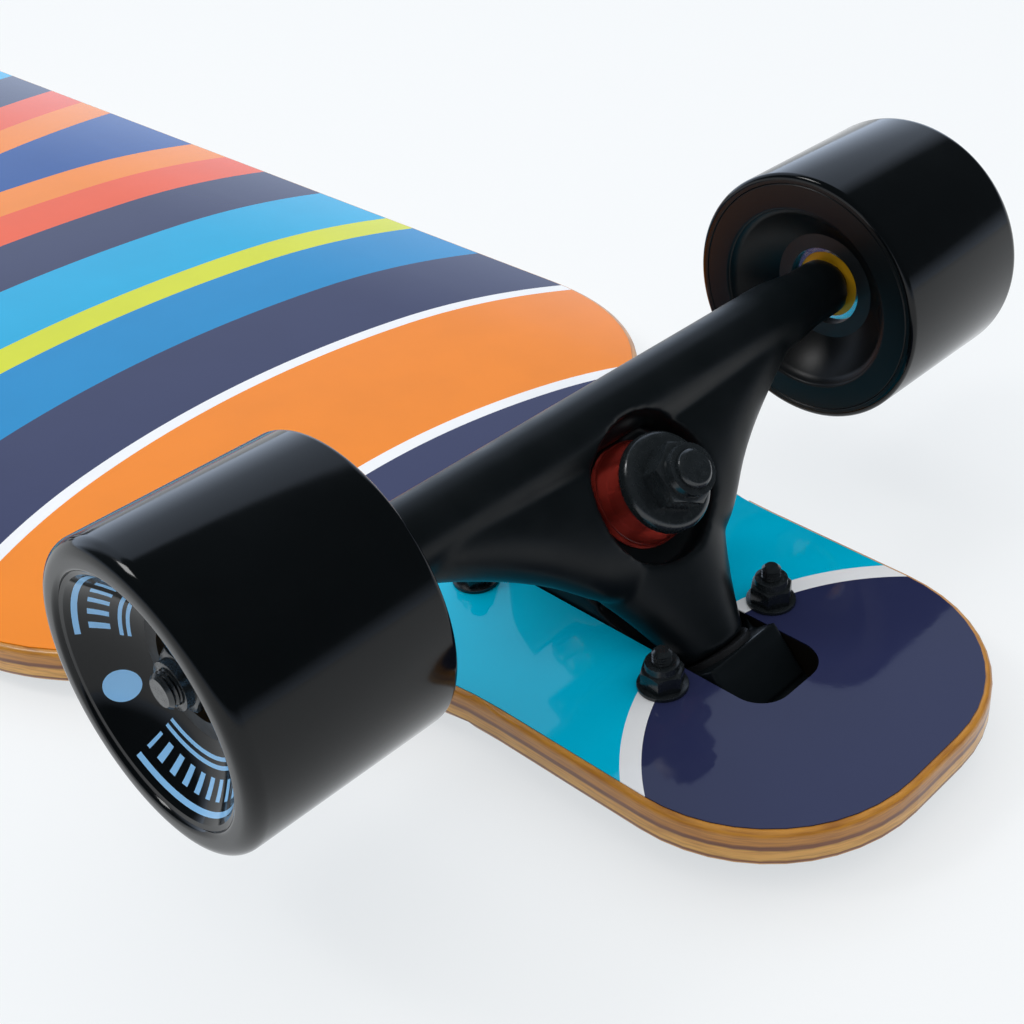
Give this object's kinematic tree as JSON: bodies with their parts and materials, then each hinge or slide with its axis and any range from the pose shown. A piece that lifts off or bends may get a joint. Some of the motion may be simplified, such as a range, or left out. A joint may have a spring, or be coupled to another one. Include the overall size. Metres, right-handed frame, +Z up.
{
  "type": "longboard skateboard",
  "caption": "Long drop-through skateboard lying on its grip side, with steering trucks on sprung pivots and free-turning wide wheels.",
  "frame": {"origin": "middle of the board, on the surface that it lies on with its wheels up", "axes": "+X along the board towards the front truck, +Y across it, +Z up from the surface towards the wheels; turn the part half round about X to stand it on its wheels for riding"},
  "size_m": [0.98, 0.261, 0.1011],
  "materials": {
    "plywood": "clear-coated edge",
    "print_film": "gloss lacquer",
    "grip": "coarse grit",
    "truck_casting": "black satin coat",
    "black_steel": "blackened",
    "bare_steel": "zinc plated",
    "bearing_steel": "ground",
    "shield": "gold coloured",
    "cup_plastic": "moulded",
    "bushing_elastic": "cast, glossy",
    "wheel_elastic": "cast, glossy",
    "core_plastic": "moulded"
  },
  "bodies": {
    "board": {"deck": "plywood", "deck_print": "print_film", "grip_tape": "grip", "front_baseplate": "truck_casting", "front_mounting_bolts": "black_steel", "front_mounting_washers": "black_steel", "front_mounting_nuts": "black_steel", "front_pivot_cup": "cup_plastic", "front_kingpin": "black_steel", "front_kingpin_nut": "black_steel", "front_roadside_washer": "black_steel", "front_boardside_washer": "black_steel", "front_roadside_bushing": "bushing_elastic", "front_boardside_bushing": "bushing_elastic", "rear_baseplate": "truck_casting", "rear_mounting_bolts": "black_steel", "rear_mounting_washers": "black_steel", "rear_mounting_nuts": "black_steel", "rear_pivot_cup": "cup_plastic", "rear_kingpin": "black_steel", "rear_kingpin_nut": "black_steel", "rear_roadside_washer": "black_steel", "rear_boardside_washer": "black_steel", "rear_roadside_bushing": "bushing_elastic", "rear_boardside_bushing": "bushing_elastic"},
    "front_hanger_arm": {"front_hanger": "truck_casting", "front_axle": "black_steel", "front_axle_nuts": "black_steel", "front_speed_rings": "bare_steel", "front_bearing_inner_rings": "bearing_steel", "front_bearing_spacers": "bare_steel"},
    "front_left_wheel": {"front_left_tyre": "wheel_elastic", "front_left_wheel_core": "core_plastic", "front_left_bearing_outer_rings": "bearing_steel", "front_left_bearing_shields": "shield"},
    "front_left_balls": {"front_left_ball_sets": "bearing_steel"},
    "front_right_wheel": {"front_right_tyre": "wheel_elastic", "front_right_wheel_core": "core_plastic", "front_right_bearing_outer_rings": "bearing_steel", "front_right_bearing_shields": "shield"},
    "front_right_balls": {"front_right_ball_sets": "bearing_steel"},
    "rear_hanger_arm": {"rear_hanger": "truck_casting", "rear_axle": "black_steel", "rear_axle_nuts": "black_steel", "rear_speed_rings": "bare_steel", "rear_bearing_inner_rings": "bearing_steel", "rear_bearing_spacers": "bare_steel"},
    "rear_left_wheel": {"rear_left_tyre": "wheel_elastic", "rear_left_wheel_core": "core_plastic", "rear_left_bearing_outer_rings": "bearing_steel", "rear_left_bearing_shields": "shield"},
    "rear_left_balls": {"rear_left_ball_sets": "bearing_steel"},
    "rear_right_wheel": {"rear_right_tyre": "wheel_elastic", "rear_right_wheel_core": "core_plastic", "rear_right_bearing_outer_rings": "bearing_steel", "rear_right_bearing_shields": "shield"},
    "rear_right_balls": {"rear_right_ball_sets": "bearing_steel"}
  },
  "joints": [
    {"name": "front_steer", "type": "hinge", "parent": "board", "child": "front_hanger_arm", "pos_m": [0.3984, 0, 0.0458], "axis": [-0.6428, 0, 0.766], "range_deg": [-18, 18], "stiffness_Nm_per_rad": 60, "deforming": ["front_boardside_bushing", "front_roadside_bushing"]},
    {"name": "front_left_wheel_spin", "type": "hinge", "parent": "front_hanger_arm", "child": "front_left_wheel", "pos_m": [0.39244, 0.105, 0.06613], "axis": [0, 1, 0], "continuous": true},
    {"name": "front_left_balls_spin", "type": "hinge", "parent": "front_hanger_arm", "child": "front_left_balls", "pos_m": [0.39244, 0.105, 0.06613], "axis": [0, 1, 0], "continuous": true},
    {"name": "front_right_wheel_spin", "type": "hinge", "parent": "front_hanger_arm", "child": "front_right_wheel", "pos_m": [0.39244, -0.105, 0.06613], "axis": [0, 1, 0], "continuous": true},
    {"name": "front_right_balls_spin", "type": "hinge", "parent": "front_hanger_arm", "child": "front_right_balls", "pos_m": [0.39244, -0.105, 0.06613], "axis": [0, 1, 0], "continuous": true},
    {"name": "rear_steer", "type": "hinge", "parent": "board", "child": "rear_hanger_arm", "pos_m": [-0.3984, 0, 0.0458], "axis": [0.6428, 0, 0.766], "range_deg": [-18, 18], "stiffness_Nm_per_rad": 60, "deforming": ["rear_boardside_bushing", "rear_roadside_bushing"]},
    {"name": "rear_left_wheel_spin", "type": "hinge", "parent": "rear_hanger_arm", "child": "rear_left_wheel", "pos_m": [-0.39244, 0.105, 0.06613], "axis": [0, 1, 0], "continuous": true},
    {"name": "rear_left_balls_spin", "type": "hinge", "parent": "rear_hanger_arm", "child": "rear_left_balls", "pos_m": [-0.39244, 0.105, 0.06613], "axis": [0, 1, 0], "continuous": true},
    {"name": "rear_right_wheel_spin", "type": "hinge", "parent": "rear_hanger_arm", "child": "rear_right_wheel", "pos_m": [-0.39244, -0.105, 0.06613], "axis": [0, 1, 0], "continuous": true},
    {"name": "rear_right_balls_spin", "type": "hinge", "parent": "rear_hanger_arm", "child": "rear_right_balls", "pos_m": [-0.39244, -0.105, 0.06613], "axis": [0, 1, 0], "continuous": true}
  ],
  "couplings": [
    {"joint": "front_left_balls_spin", "follows": "front_left_wheel_spin", "ratio": 0.6323},
    {"joint": "front_right_balls_spin", "follows": "front_right_wheel_spin", "ratio": 0.6323},
    {"joint": "rear_left_balls_spin", "follows": "rear_left_wheel_spin", "ratio": 0.6323},
    {"joint": "rear_right_balls_spin", "follows": "rear_right_wheel_spin", "ratio": 0.6323}
  ]
}
